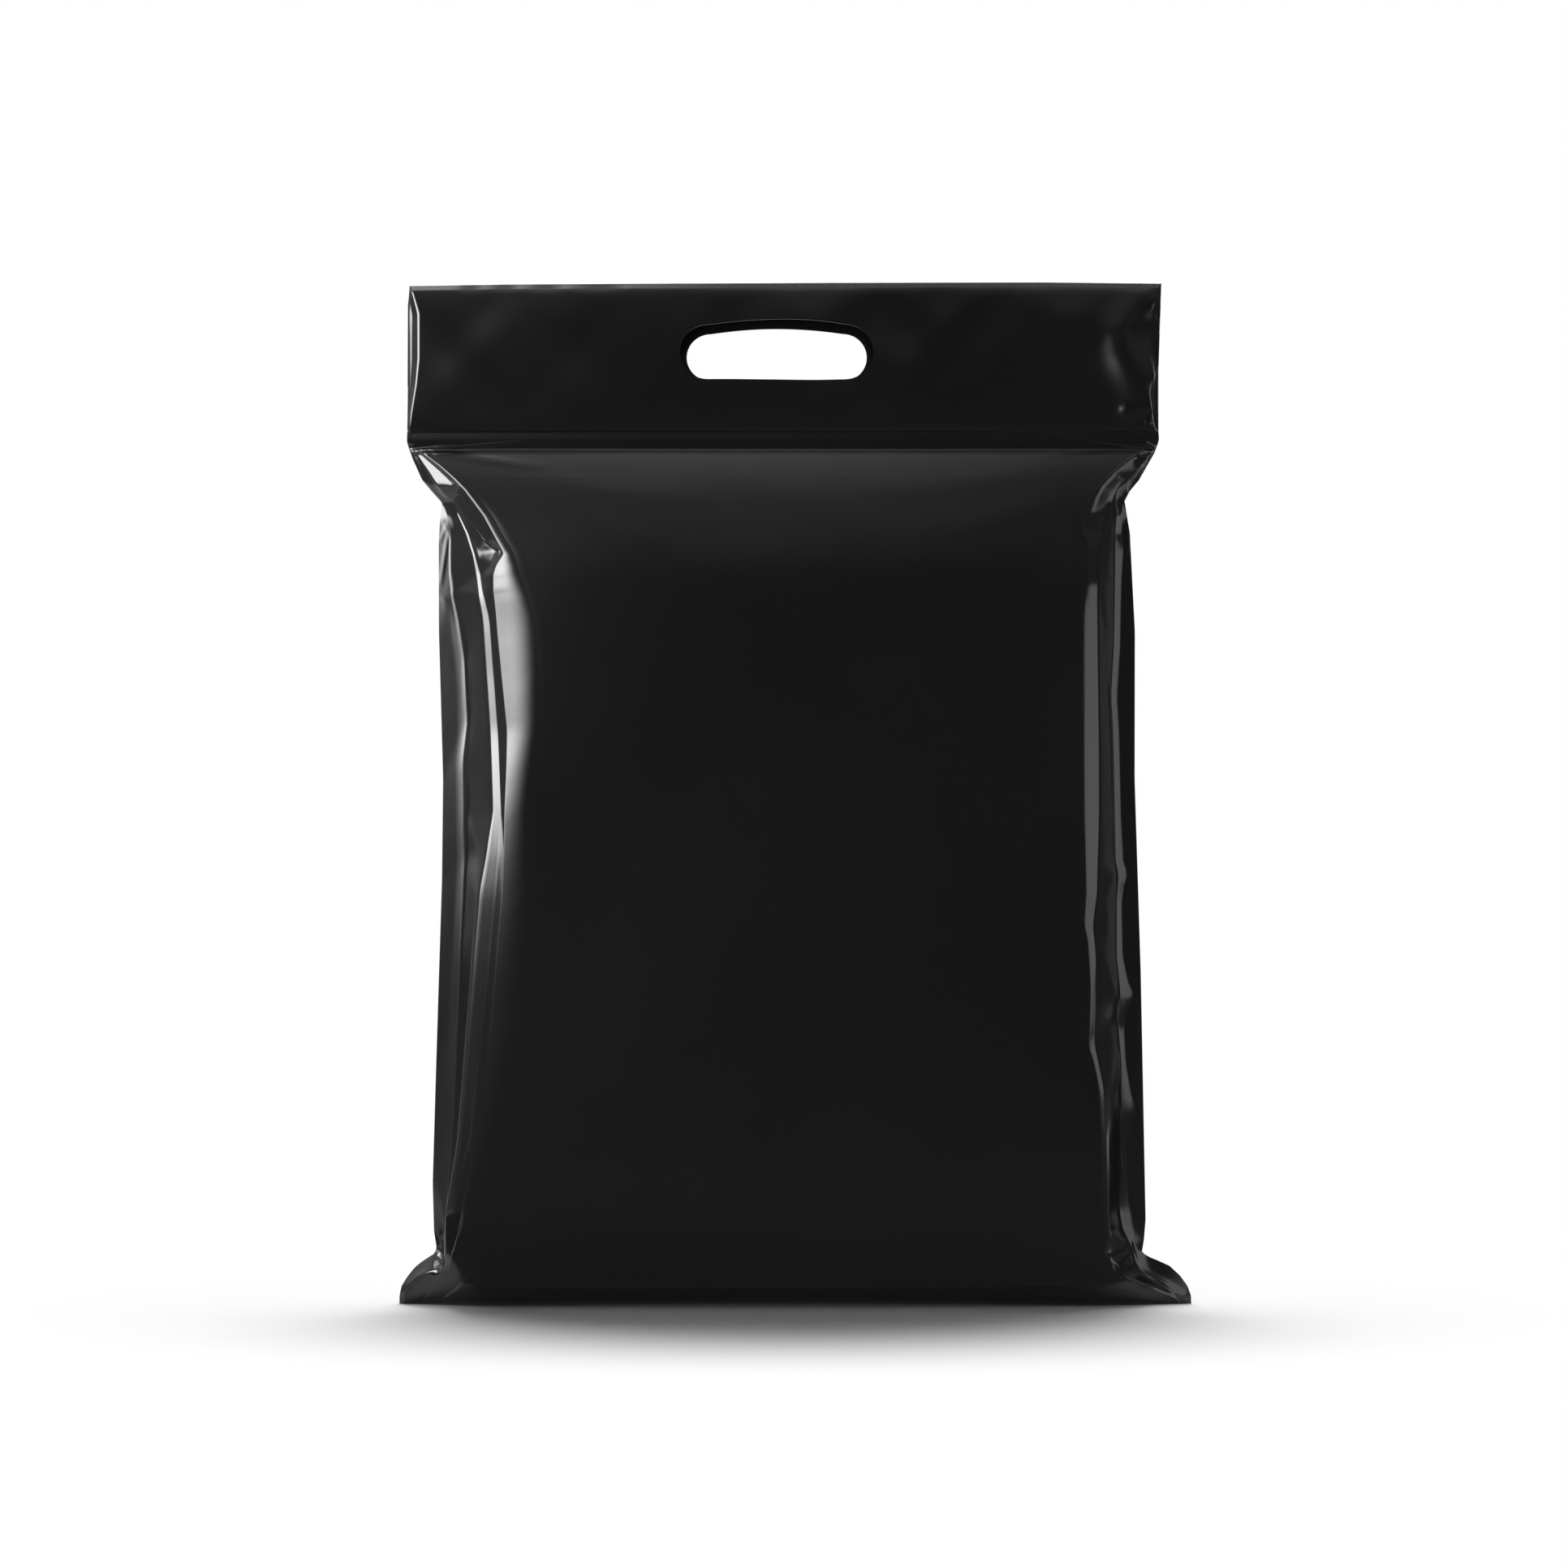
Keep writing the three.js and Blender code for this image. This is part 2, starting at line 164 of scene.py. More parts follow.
def round_share(t, steep):
    """How far a rounded corner has risen, from its steep start at 0 to level at 1."""
    t = np.clip(t, 0, 1)
    start = math.log(math.cos(steep))
    return (np.log(np.cos(steep * (1 - t))) - start) / -start


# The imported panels: how deep they are where they are full and at the crease, how high their shoulders
# are, and how far the bottom fold's round, its bow and the crown go.
foot_round = 42.0
base_half = 8.0
foot_bow, bow_reach = 2, 150
front_full, front_crease, front_shoulder = 27.5, 4.2, 92
back_full, back_crease, back_shoulder = 27.0, 2.6, 100
panel_crown, crown_middle, crown_reach = 3.4, -20, 135
shoulder_power, shoulder_power_rise = 2.15, 0.55
neck_start = 385


def foot_share(level):
    """How much of its full depth the bottom fold's round has at each level."""
    return np.sqrt(np.clip(1 - (1 - np.clip(level / foot_round, 0, 1)) ** 2, 0, 1))


def panel_depth(x, level, full, crease, shoulder):
    """A packed panel's depth: the foot's round, the crown, and the shoulder up to the crease."""
    up = np.clip((crease_level - level) / shoulder, 0, 1)
    rise = 1 - (1 - up) ** (shoulder_power + shoulder_power_rise * (1 - up) ** 3)
    foot = base_half + (full - base_half) * foot_share(level)
    packed = foot_share(level) * (1 - (1 - up) ** 2)
    crown = panel_crown * packed * (1 - ((x - crown_middle) / crown_reach) ** 2)
    bow = foot_bow * (1 - foot_share(level)) * (1 - (x / bow_reach) ** 2)
    return np.minimum(foot, crease + (full - crease) * rise) + crown - bow


ear_flatness, ear_start, ear_full, ear_low, ear_high = 0.9, 150, 200, 14, 38


def ear_share(x, level):
    """What is left of the depth where the bottom corners are pressed flat into ears."""
    outward = eased(ear_start, ear_full, np.abs(x))
    return 1 - ear_flatness * outward * (1 - eased(ear_low, ear_high, level))


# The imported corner's round beside the left groove: how steep it starts, how wide it is and how far it
# drops. The right corner drops away slowly over the last part of the panel.
left_round_steep = 0.5
left_round_width = [(0, 6), (18, 8), (30, 12), (85, 14), (166, 16), (206, 14), (226, 12), (247, 11),
                    (268, 12.6), (288, 15), (317, 18.4), (340, 19.4), (350, 18.4), (358, 16.4),
                    (366, 13), (372, 9.4), (378, 3), (390, 2.2), (440, 2)]
left_round_drop = [(0, 0), (14, 0), (26, 0.2), (85, 0.4), (166, 0.8), (206, 1), (226, 1.1), (247, 1.4),
                   (268, 2.2), (288, 3.4), (317, 4.8), (340, 5.2), (350, 5.1), (358, 4.8), (366, 4),
                   (372, 2.8), (378, 0.5), (390, 0.3), (440, 0.25)]
right_drop, right_drop_start, right_drop_width = 3.4, 60, 90


def front_depth_at(x, level):
    """The front panel's depth between the left groove and the right packed fold."""
    depth = panel_depth(x, level, front_full, front_crease, front_shoulder)
    width, drop = along(left_round_width, level), along(left_round_drop, level)
    depth = depth - drop * (1 - round_share((x - along(groove, level)) / width, left_round_steep))
    packed = foot_share(level) * (1 - eased(neck_start, crease_level, level))
    depth = depth - right_drop * packed * np.clip((x - right_drop_start) / right_drop_width, 0, 1) ** 1.7
    return depth * ear_share(x, level)


def stepped(line, beside, drops, low=-1, high=600):
    """The (x, z, depth) points of a fold line that lies by (level, drop) knots lower than another."""
    return [(x, z, float(front_depth_at(np.array(along(beside, z)), np.array(z)) - along(drops, z)))
            for z, x in line if low <= z <= high]


def fold_points(knots, depths, low=-1, high=600):
    """The (x, z, depth) points of a fold line, its depth read from (level, depth) knots."""
    return [(x, z, float(along(depths, z)) if depths else None) for z, x in knots if low <= z <= high]


def facet_depths(lines, x, z):
    """The depth at each (x, z) of flat facets that are stretched between fold lines. It is nan where no
    facet reaches."""
    corners, folds = [], []
    for line in lines:
        for point in line:
            corners.append(point)
        folds += [(len(corners) - k - 1, len(corners) - k) for k in range(len(line) - 1, 0, -1)]
    flat = [Vector((px, pz)) for px, pz, _ in corners]
    same_place, edge_slack, no_area = 0.05, 1e-3, 1e-6
    at, _, faces, origin, _, _ = delaunay_2d_cdt(flat, folds, [], 0, same_place)
    depths = []
    for place, made_from in zip(at, origin):
        known = [corners[i][2] for i in made_from if corners[i][2] is not None]
        free = float(front_depth_at(np.array(place.x), np.array(place.y)))
        depths.append(max(known) if known else free)
    result = np.full(x.shape, np.nan)
    for face in faces:
        (ax, az), (bx, bz), (cx, cz) = [tuple(at[i]) for i in face]
        area = (bx - ax) * (cz - az) - (cx - ax) * (bz - az)
        if abs(area) < no_area:
            continue
        v = ((x - ax) * (cz - az) - (cx - ax) * (z - az)) / area
        w = ((bx - ax) * (z - az) - (x - ax) * (bz - az)) / area
        inside = (v >= -edge_slack) & (w >= -edge_slack) & (v + w <= 1 + edge_slack)
        a, b, c = (depths[i] for i in face)
        result = np.where(inside, a + v * (b - a) + w * (c - a), result)
    return result


# The depths of the fold lines. A line without its own depths lies on the panel.
left_lines = [
    fold_points(left_edge, [(0, 0), (23, 0), (42, -0.7), (380, -0.7), (409, -0.5), (421, 0), (440, 0)],
                high=441),
    fold_points(left_seam, None, high=19),
    fold_points(left_seam, [(20, 4.2), (26, 3.6), (37, 2.8), (61, 2.4), (93, 1.6), (147, 0.9), (206, 0.6),
                            (317, 0.2), (346, 0.1), (371, 0.1), (390, 0.2), (409, 3), (417, 3.2),
                            (425, 2.2), (440, 0.6)], low=19.5),
    fold_points(band_out, None, high=19),
    stepped(band_out, groove, [(20, 4), (26, 3), (45, 1.2), (85, 1.5), (125, 1.7), (166, 1.7), (206, 1.9),
                               (226, 2.4), (247, 3.3), (288, 6.5), (317, 6.2), (346, 5.8), (358, 6.4),
                               (369, 10), (380, 12.2), (391, 13.2), (402, 13.8)], low=19.5, high=402),
    fold_points(band_out, [(409, 4.6), (412, 5.2), (417, 5.2), (425, 3.8), (432, 2.4), (440, 0.7)],
                low=409),
    fold_points(band_in, None, high=19),
    stepped(band_in, groove, [(20, 2), (26, 1.4), (45, 0.5), (85, 0.6), (166, 0.5), (206, 0.5), (226, 0.9),
                              (247, 1.7), (288, 4.6), (317, 4), (346, 3.7), (358, 4.9), (369, 8.8),
                              (380, 11.2), (391, 12.6), (402, 13.4)], low=19.5, high=402),
    fold_points(band_in, [(409, 5.5), (412, 6.8), (417, 7.2), (425, 5.2), (432, 3.4), (440, 0.9)],
                low=409),
    stepped(fan_out, groove, [(346, 1.8), (360, 1.5), (368, 2.3), (374, 3)], low=340, high=375),
    stepped(fan_in, groove, [(346, 1), (360, 0.8), (368, 1.0), (374, 1.2)], low=340, high=375),
    fold_points(fan_out, [(380.4, 21), (386, 17.4), (400.5, 11), (408, 6.4)], low=380, high=409),
    fold_points(fan_in, [(379.4, 22.6), (386, 18), (400.5, 11.5), (408, 7)], low=379, high=409),
    fold_points(fan_in, [(413.8, 13.4), (419, 11), (424.6, 8.2), (432, 4.4), (440, 0.9)], low=413),
    fold_points(groove, None),
]
# The lower edge of the lit facet under the left hip.
left_lines += [[(-183.3, 417, 7.2), (-170, 413.8, 13.4)]]
right_lines = [
    fold_points(right_edge, [(0, 0), (24, 0), (42, -0.6), (380, -0.6), (410, -0.5), (421, 0), (441, 0)],
                high=442),
    fold_points(lip_out, [(0, 0.6), (10, 1.8), (21, 1.6), (50, -0.1), (400, -0.1), (415, 1.6), (428, 1.6),
                          (441, 0.8)]),
    fold_points(lip_in, [(0, 0.9), (10, 2.6), (21, 3.4), (28, 3), (50, 1.6), (400, 1.6), (410, 5),
                         (420, 5.4), (435, 2), (441, 0.9)]),
    fold_points(packed_out, [(0, 1.2), (7, 5), (15, 13.4), (20, 15.4), (26, 17)], high=30),
    stepped(packed_out, packed_in, [(30, 1.2), (85, 1.2), (109, 1.1), (131, 1.6), (175, 2.2), (191, 2.4),
                                    (206, 2.9), (247, 3.8), (364, 2.8), (378, 3)], low=31, high=380),
    fold_points(packed_out, [(384, 16), (390, 13.6), (399, 9.6), (409, 7), (413, 6.4), (420, 5.4),
                             (434, 2.2), (441, 1)], low=381),
    fold_points(packed_in, None),
]
right_lines += [
    [(148.6, 396, None), (152, 398.6, 16), (158, 402, 11.6), (165, 409, 6.8)],
    [(158.6, 414, None), (167, 413, 6.4)],
    [(155, 26, None), (171, 27.4, 6)],
    [(162, 20, None), (171, 27.4, 6)],
]

# The levels of the rows, closest where the film is creased.
body_levels = np.concatenate([
    np.linspace(0, 45, 32)[:-1],
    np.linspace(45, 356, 76)[:-1],
    np.linspace(356, 420, 52)[:-1],
    np.linspace(420, crease_level, 22),
    crease_level + np.array([0.5, 1.2, 2.6, 4.2, 5.2]),
])
header_levels = np.concatenate([
    flap_edge + np.array([0, 0.25, 0.6, 1.1, 1.7, 2.3, 2.9, 3.4, 3.7, 4.6]),
    np.linspace(flap_edge + 6.5, top_fold - 4.2, 34),
    top_fold - np.array([3.6, 3.2, 2.8, 2.4, 2.0, 1.5, 1.0, 0.5, 0.0]),
])


def column_places(lines, counts, level):
    """The x of one side's columns, even between its fold lines."""
    xs = [along(lines[0], level)]
    for (outer, inner), steps in zip(zip(lines, lines[1:]), counts):
        start, stop = along(outer, level), along(inner, level)
        xs += [start + (stop - start) * i / steps for i in range(1, steps + 1)]
    return np.array(xs).T


def body_columns(level):
    """The x of all the body's columns from the left edge to the right edge."""
    left_shelf = [(z, x + 3 + along(left_round_width, z)) for z, x in groove]
    right_shelf = [(0, 172), (7, 160), (15, 148), (26, 138), (60, 130), (380, 128), (396, 130),
                   (414, 142), (432, 168), (441, 186)]
    left = column_places([left_edge, left_seam, band_out, band_in, fan_out, fan_in, groove, left_shelf],
                         left_columns, level)
    right = column_places([right_edge, lip_out, lip_in, packed_out, packed_in, right_shelf],
                          right_columns, level)
    t = np.linspace(0, 1, panel_columns + 1)[1:-1][None, :]
    middle = left[:, -1:] * (1 - t) + right[:, -1:] * t
    return np.concatenate([left, middle, right[:, ::-1]], axis=1)


# The creases that the pouch bows into the header's two sides, and the columns on each side of them.
left_header_crease = [(430, -195.2), (436, -197.4), (442, -198.2), (454, -197), (470, -194.4),
                      (483, -193.2), (509, -193.6), (520, -197), (526, -198.6)]
right_header_crease = [(430, 184.4), (436, 187.4), (442, 189.4), (446, 188), (465, 185), (475, 187),
                       (484, 185), (493, 186), (504, 188), (510, 187), (523, 191), (526, 192)]
beside_crease = 6
crease_columns = (6, 8)
flat_rim = 0.4


def header_columns(level):
    """The x of the header's columns between its two edges: closer together at the side creases."""
    left_inner = [(z, x + beside_crease) for z, x in left_header_crease]
    right_inner = [(z, x - beside_crease) for z, x in right_header_crease]
    left = column_places([left_edge, left_header_crease, left_inner], crease_columns, level)
    right = column_places([right_edge, right_header_crease, right_inner], crease_columns, level)
    steps = sum(left_columns) + panel_columns + sum(right_columns) - 2 * sum(crease_columns)
    t = np.linspace(0, 1, steps + 1)[1:-1][None, :]
    return np.concatenate([left, left[:, -1:] * (1 - t) + right[:, -1:] * t, right[:, ::-1]], axis=1)


def pouch_half(x, level, puff, rim):
    """Half the pouch's thickness: from the rim along the weld, the creases and the top fold."""
    outside = []
    for edge, crease in ((left_edge, left_header_crease), (right_edge, right_header_crease)):
        at_edge, at_crease = along(edge, level)[:, None], along(crease, level)[:, None]
        outside.append(np.clip((1 + flat_rim) * (x - at_edge) / (at_crease - at_edge) - flat_rim, 0, 1))
    up = (level[:, None] - flap_edge - weld_height) / (top_fold - flap_edge - weld_height)
    crown = 1 - 0.04 * (x / 200) ** 2
    bulge = np.sin(math.pi * np.clip(up, 0, 1)) ** np.where(up < 0.5, 0.45, 0.22)
    return rim + puff * bulge * crown * np.minimum(*outside)


def swell(x, z, parts):
    """A sum of slow waves, each (height, length across, length up, phase), for soft dents."""
    total = np.zeros_like(x)
    for height, across, up, phase in parts:
        wave = np.sin(2 * math.pi * (x / across + phase)) * np.cos(2 * math.pi * (z / up + phase * 1.7))
        total += height * wave
    return total


def creased(x, z, points, height, width, fade=0.5):
    """A pressed fold along a line of points: a ridge that fades over its width and at its ends."""
    nearest = np.full(x.shape, 1e9)
    share = np.zeros_like(x)
    spans = [math.dist(a, b) for a, b in zip(points, points[1:])]
    run = 0
    for (x0, z0), (x1, z1), span in zip(points, points[1:], spans):
        t = np.clip(((x - x0) * (x1 - x0) + (z - z0) * (z1 - z0)) / span**2, 0, 1)
        away = np.hypot(x - x0 - t * (x1 - x0), z - z0 - t * (z1 - z0))
        share = np.where(away < nearest, (run + t * span) / sum(spans), share)
        nearest = np.minimum(nearest, away)
        run += span
    return height * np.exp(-((nearest / width) ** 2)) * np.sin(math.pi * np.clip(share, 0, 1)) ** fade


def softened(depth, times):
    """The depths with each point moved towards its neighbours, which rounds the folds slightly."""
    for _ in range(times):
        depth = depth.copy()
        depth[1:-1] = (depth[:-2] + 2 * depth[1:-1] + depth[2:]) / 4
        depth[:, 1:-1] = (depth[:, :-2] + 2 * depth[:, 1:-1] + depth[:, 2:]) / 4
    return depth


def on_panel(z):
    """1 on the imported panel, easing to 0 at the foot and at the neck under the flap."""
    return eased(4, 60, z) * (1 - eased(405, crease_level - 4, z))


level = body_levels
body_x = body_columns(level)
body_z = np.repeat(level[:, None], body_x.shape[1], axis=1)
front_depth = front_depth_at(body_x, body_z)
left_count, right_count = sum(left_columns[:6]), sum(right_columns[:4])
for lines, part in ((left_lines, slice(0, left_count + 1)), (right_lines, slice(-right_count - 1, None))):
    side = facet_depths(lines, body_x[:, part], body_z[:, part])
    front_depth[:, part] = np.where(np.isnan(side), front_depth[:, part], side)
left_margin, right_margin, margin_fade = 25, 20, 30
inside_margins = np.minimum(body_x - body_x[:, :1] - left_margin, body_x[:, -1:] - body_x - right_margin)
away_from_edge = eased(0, margin_fade, inside_margins)
front_depth += away_from_edge * on_panel(body_z) * swell(body_x, body_z, [
    (0.16, 180, 260, 0.13), (0.1, 95, 150, 0.41)])

# The pressed folds that catch the light as thin lines, each (points, height, width).
crisp_end, soft_end, header_end = 0.35, 0.8, 0.25
below_crease = body_z < crease_level - 0.2
for points, height, width in (
    ([(-198, 436), (-184, 435.6), (-166, 434.6)], 1.7, 1.0),
    ([(-178, 407), (-177, 401), (-174.4, 390), (-174.6, 371)], 0.3, 0.8),
    ([(-177, 398), (-179, 384), (-181.4, 366)], 0.22, 0.8),
    ([(-177, 400), (-182, 389)], 0.2, 0.7),
    ([(-191, 421), (-183, 411.4)], 0.4, 0.8),
    ([(-152, 14), (-132, 28), (-112, 42)], 0.7, 9),
    ([(-181, 360), (-174, 350), (-170.5, 328), (-168.6, 310), (-168.2, 290), (-169.6, 272), (-168, 224),
      (-170, 184), (-171.4, 147), (-172.6, 93), (-174, 58), (-174.6, 24)], 0.5, 0.9),
    ([(-180, 70), (-176.6, 50), (-175, 28)], 0.3, 0.7),
    ([(-181, 36), (-178, 31), (-174.6, 26)], 0.35, 0.7),
    ([(-174.4, 26), (-176, 21), (-181, 17.6), (-188, 14), (-193, 10), (-196.4, 4)], 0.9, 1.5),
    ([(189, 439.6), (177, 432), (165, 422), (158, 414), (156, 409), (148, 396.4)], 0.25, 0.8),
    ([(188, 438.6), (179, 430.6), (170, 422), (161, 415.6)], 0.2, 0.7),
    ([(187, 437), (178, 426), (170, 420), (166, 411), (165, 408), (162, 399), (158, 390), (155, 382)],
     0.25, 0.8),
    ([(148, 396), (152, 397.6), (158, 402), (164, 408)], 0.3, 0.7),
    ([(148, 396), (148.4, 391.6), (151, 386.6), (152, 380)], 0.35, 0.8),
    ([(169, 402), (173, 396), (175, 388), (173, 382)], 0.2, 0.8),
    ([(155, 26), (162, 19.6), (167, 15.4), (177, 11), (199, 3)], 0.8, 1.4),
    ([(167, 15), (181, 14.2), (188, 10.4), (197, 4.4)], 0.5, 1.3),
    ([(165, 50), (166, 38), (172, 28), (175, 20)], 0.3, 0.7),
    ([(155, 26), (171, 27.4), (166.4, 18)], 0.3, 0.7),
):
    front_depth += below_crease * creased(body_x, body_z, points, height, width, crisp_end)

# Soft folds that run from the flap's corners over the shoulder.
for points, height, width in (
    ([(-150, 425), (-100, 412), (-40, 406)], 0.4, 7),
    ([(-142, 412), (-100, 392), (-60, 384)], 0.35, 8),
    ([(146, 428), (90, 416), (30, 411)], 0.35, 7),
    ([(140, 410), (100, 396), (60, 390)], 0.3, 8),
    ([(-30, 420), (20, 400), (50, 380)], 0.25, 10),
):
    front_depth += below_crease * creased(body_x, body_z, points, height, width, soft_end)
front_depth += below_crease * creased(body_x, body_z, [(-197, 438), (-158, 430), (-126, 425.4)], 0.5, 2.2)
front_depth += below_crease * creased(body_x, body_z, [(188, 440), (160, 436), (128, 432)], 0.35, 1.6)
front_depth = softened(front_depth, 1)
for column, lines in ((0, left_lines), (-1, right_lines)):
    front_depth[:, column] = along([(z, d) for _, z, d in lines[0]], level)

# The recess under the flap, where the front panel's bulge starts from a crisp crease.
recess_depth = 2.6
lip_depth = 0.8
recessed = body_z > crease_level + 0.1
front_depth = np.where(recessed, np.minimum(front_depth, recess_depth), front_depth)
lip = along([(crease_level - 3, 0), (crease_level - 0.6, lip_depth), (crease_level, lip_depth),
             (crease_level + 0.4, 0)], body_z)
front_depth += lip * eased(0, 12, np.minimum(body_x - body_x[:, :1], body_x[:, -1:] - body_x))

# The back panel, made of the same web: every second column, rounder sides, no flap. Its sides are
# round over this width where it is full, at the foot and at the neck.
full_round, foot_side_round, neck_side_round = 42, 50, 32
back_x = body_x[:, ::2]
back_z = body_z[:, ::2]
edge_gap = np.minimum(back_x - back_x[:, :1], back_x[:, -1:] - back_x)
foot = eased(0, 30, back_z)
neck = eased(neck_start, crease_level, back_z)
least_round = 10
side_round = least_round + (full_round - least_round) * foot * (1 - neck)
side_round += (foot_side_round - least_round) * (1 - foot)
side_round += (neck_side_round - least_round) * neck
side_share = 1 - (1 - np.clip(edge_gap / side_round, 0, 1)) ** (1.1 + 1.3 * foot * (1 - neck))
back_edge = -front_depth[:, [0, -1]]
edge_level = np.where(back_x < 0, back_edge[:, :1], back_edge[:, 1:])
back_middle = panel_depth(back_x, back_z, back_full, back_crease, back_shoulder)
back_middle = back_middle * ear_share(back_x, back_z)
back_depth = edge_level + (back_middle - edge_level) * side_share
back_depth += on_panel(back_z) * eased(20, 50, edge_gap) * swell(back_x, back_z, [
    (0.3, 160, 210, 0.33), (0.2, 85, 120, 0.71), (0.1, 40, 66, 0.09)])

# The header: a flat pouch with a thin rim, its dents and its pressed folds. The flap lies on its front.
pouch_puff = 4.6
pouch_rim = 0.6
flap_step = 1.6
header_x = header_columns(header_levels)
header_z = np.repeat(header_levels[:, None], header_x.shape[1], axis=1)
pouch = pouch_half(header_x, header_levels, pouch_puff, pouch_rim)
in_pouch = (pouch - pouch_rim) / pouch_puff
dents = in_pouch**2 * swell(header_x, header_z, [
    (1.2, 130, 90, 0.21), (0.8, 70, 60, 0.63), (0.26, 33, 42, 0.37)])
left_dents = 0.35
dents *= left_dents + (1 - left_dents) * eased(-120, 80, header_x)
for points, height, width in (
    ([(187, 520), (176, 508), (170.6, 499), (170.6, 490), (175, 478), (180, 466), (184, 454)], 3.6, 10),
    ([(172.4, 459), (173.4, 452)], 2.4, 3.2),
    ([(172.4, 451), (174, 446.6)], 2.4, 3),
    ([(183, 451), (185, 446.4)], 2.4, 3),
    ([(-170, 447), (-120, 452), (-60, 447)], 0.4, 5),
    ([(-40, 452), (30, 462), (110, 455)], 0.45, 9),
):
    dents += in_pouch * creased(header_x, header_z, points, height, width, header_end)
up_flap = np.clip((header_z - flap_edge) / (top_fold - flap_edge), 0, 1)
flap_relief = flap_step * (1 - up_flap)
header_front = pouch + dents + flap_relief
header_back = (pouch + in_pouch * swell(header_x, header_z, [
    (0.4, 140, 100, 0.51), (0.25, 70, 60, 0.93)]))[:, ::2]

# The top fold is pressed to a bevel, which hangs in scallops over the pouch's left part.
bevel_start, bevel_slope, scallop_share = 0.3, 0.75, 0.16
scallops = np.zeros_like(header_x)
for start, stop in ((-176, -159), (-159, -140), (-140, -116), (-116, -84)):
    t = np.clip((header_x - start) / (stop - start), 0, 1)
    scallops += 4 * t * (1 - t)
below_fold = top_fold - header_z
bevel = bevel_start + bevel_slope * below_fold * (1 - scallop_share * scallops)
header_front = np.minimum(header_front, bevel)

# The rows between the body's columns and the header's even ones.
blend = eased(crease_level - 1, crease_level + 5.4, body_z)
even_x = header_columns(level)
body_x = body_x + (even_x - body_x) * blend
back_x = body_x[:, ::2]


def grid(x, depth, z):
    """The points of a skin, as rows of columns."""
    return np.stack([x, depth, z], axis=-1)


bottom_lift, lift_middle, lift_reach, lift_height = 0.8, 8, 165, 30
top_sag = [(-200, 2.2), (-150, 1.4), (-70, 0.9), (20, 0.5), (130, 0.2), (192, 0.9)]
sag_height = 40


def arched(x, z):
    """The levels with the bottom fold lifted a little off the floor between the two corners that the
    bag stands on, and with the top fold sagging a little at its two ends."""
    lift = bottom_lift * np.clip(1 - ((x - lift_middle) / lift_reach) ** 2, 0, 1)
    sag = along(top_sag, x) * eased(top_fold - sag_height, top_fold, z)
    return z + lift * (1 - np.clip(z / lift_height, 0, 1)) ** 2 - sag


front_grid = np.concatenate([grid(body_x, -front_depth, arched(body_x, body_z)),
                             grid(header_x, -header_front - film_thickness,
                                  arched(header_x, header_z))])
back_grid = np.concatenate([grid(back_x, back_depth, arched(back_x, back_z)),
                            grid(header_x[:, ::2], header_back + film_thickness,
                                 arched(header_x, header_z)[:, ::2])])
# The two skins meet at the side edges and along the top fold.
edge_columns = [0, -1]
front_grid[len(body_levels):, edge_columns, 1] = 0
back_grid[:, edge_columns] = front_grid[:, edge_columns]
front_grid[-1, :, 1] = 0


def sewn(front, back):
    """Vertices and faces of a closed skin. The back has every second of the front's columns, and
    shares its side edges and its top line. A row of faces closes the bottom."""
    rows, columns = front.shape[:2]
    points = front.reshape(-1, 3).tolist()
    front_at = np.arange(rows * columns).reshape(rows, columns)
    back_at = np.full(back.shape[:2], -1)
    back_at[:, 0] = front_at[:, 0]
    back_at[:, -1] = front_at[:, -1]
    back_at[-1] = front_at[-1, ::2]
    free = back_at < 0
    back_at[free] = len(points) + np.arange(free.sum())
    points += back[free].tolist()
    faces = []
    a, b, c, d = front_at[:-1, :-1], front_at[:-1, 1:], front_at[1:, 1:], front_at[1:, :-1]
    faces += np.stack([q.ravel() for q in (a, b, c, d)], axis=1).tolist()
    a, b, c, d = back_at[:-2, :-1], back_at[:-2, 1:], back_at[1:-1, 1:], back_at[1:-1, :-1]
    faces += np.stack([q.ravel() for q in (a, d, c, b)], axis=1).tolist()
    for i in range(back_at.shape[1] - 1):
        low, top = back_at[-2], front_at[-1]
        faces.append([low[i], top[2 * i], top[2 * i + 1], top[2 * i + 2], low[i + 1]])
        low, top = back_at[0], front_at[0]
        ring = [low[i], low[i + 1], top[2 * i + 2], top[2 * i + 1], top[2 * i]]
        faces.append([v for k, v in enumerate(ring) if v not in ring[:k]])
    return points, [[int(v) for v in face] for face in faces]


points, faces = sewn(front_grid, back_grid)

# The hollow of the header pouch, one film's thickness inside both of its skins. It stays clear of the
# weld's rows and of the side edges' columns, and keeps a small gap where the skins come close.
weld_rows = 9
edge_margin = 10
least_gap = 0.02
inner_rows = slice(len(body_levels) + weld_rows, -2)
hollow_front = front_grid[inner_rows, edge_margin:-edge_margin:2].copy()
hollow_back = back_grid[inner_rows, edge_margin // 2:-(edge_margin // 2)].copy()
middle_line = (hollow_front[..., 1] + hollow_back[..., 1]) / 2
hollow_front[..., 1] = np.minimum(hollow_front[..., 1] + film_thickness, middle_line - least_gap)
hollow_back[..., 1] = np.maximum(hollow_back[..., 1] - film_thickness, middle_line + least_gap)
for edge in ((slice(None), [0, -1]), ([0, -1], slice(None))):
    hollow_front[edge] = np.concatenate([hollow_front[edge][..., :1], middle_line[edge][..., None],
                                         hollow_front[edge][..., 2:]], axis=-1)
hollow_back = hollow_back[:, ::2]
hollow_points, hollow_faces = sewn(hollow_front, hollow_back)
offset = len(points)
points += hollow_points
faces += [[v + offset for v in reversed(face)] for face in hollow_faces]


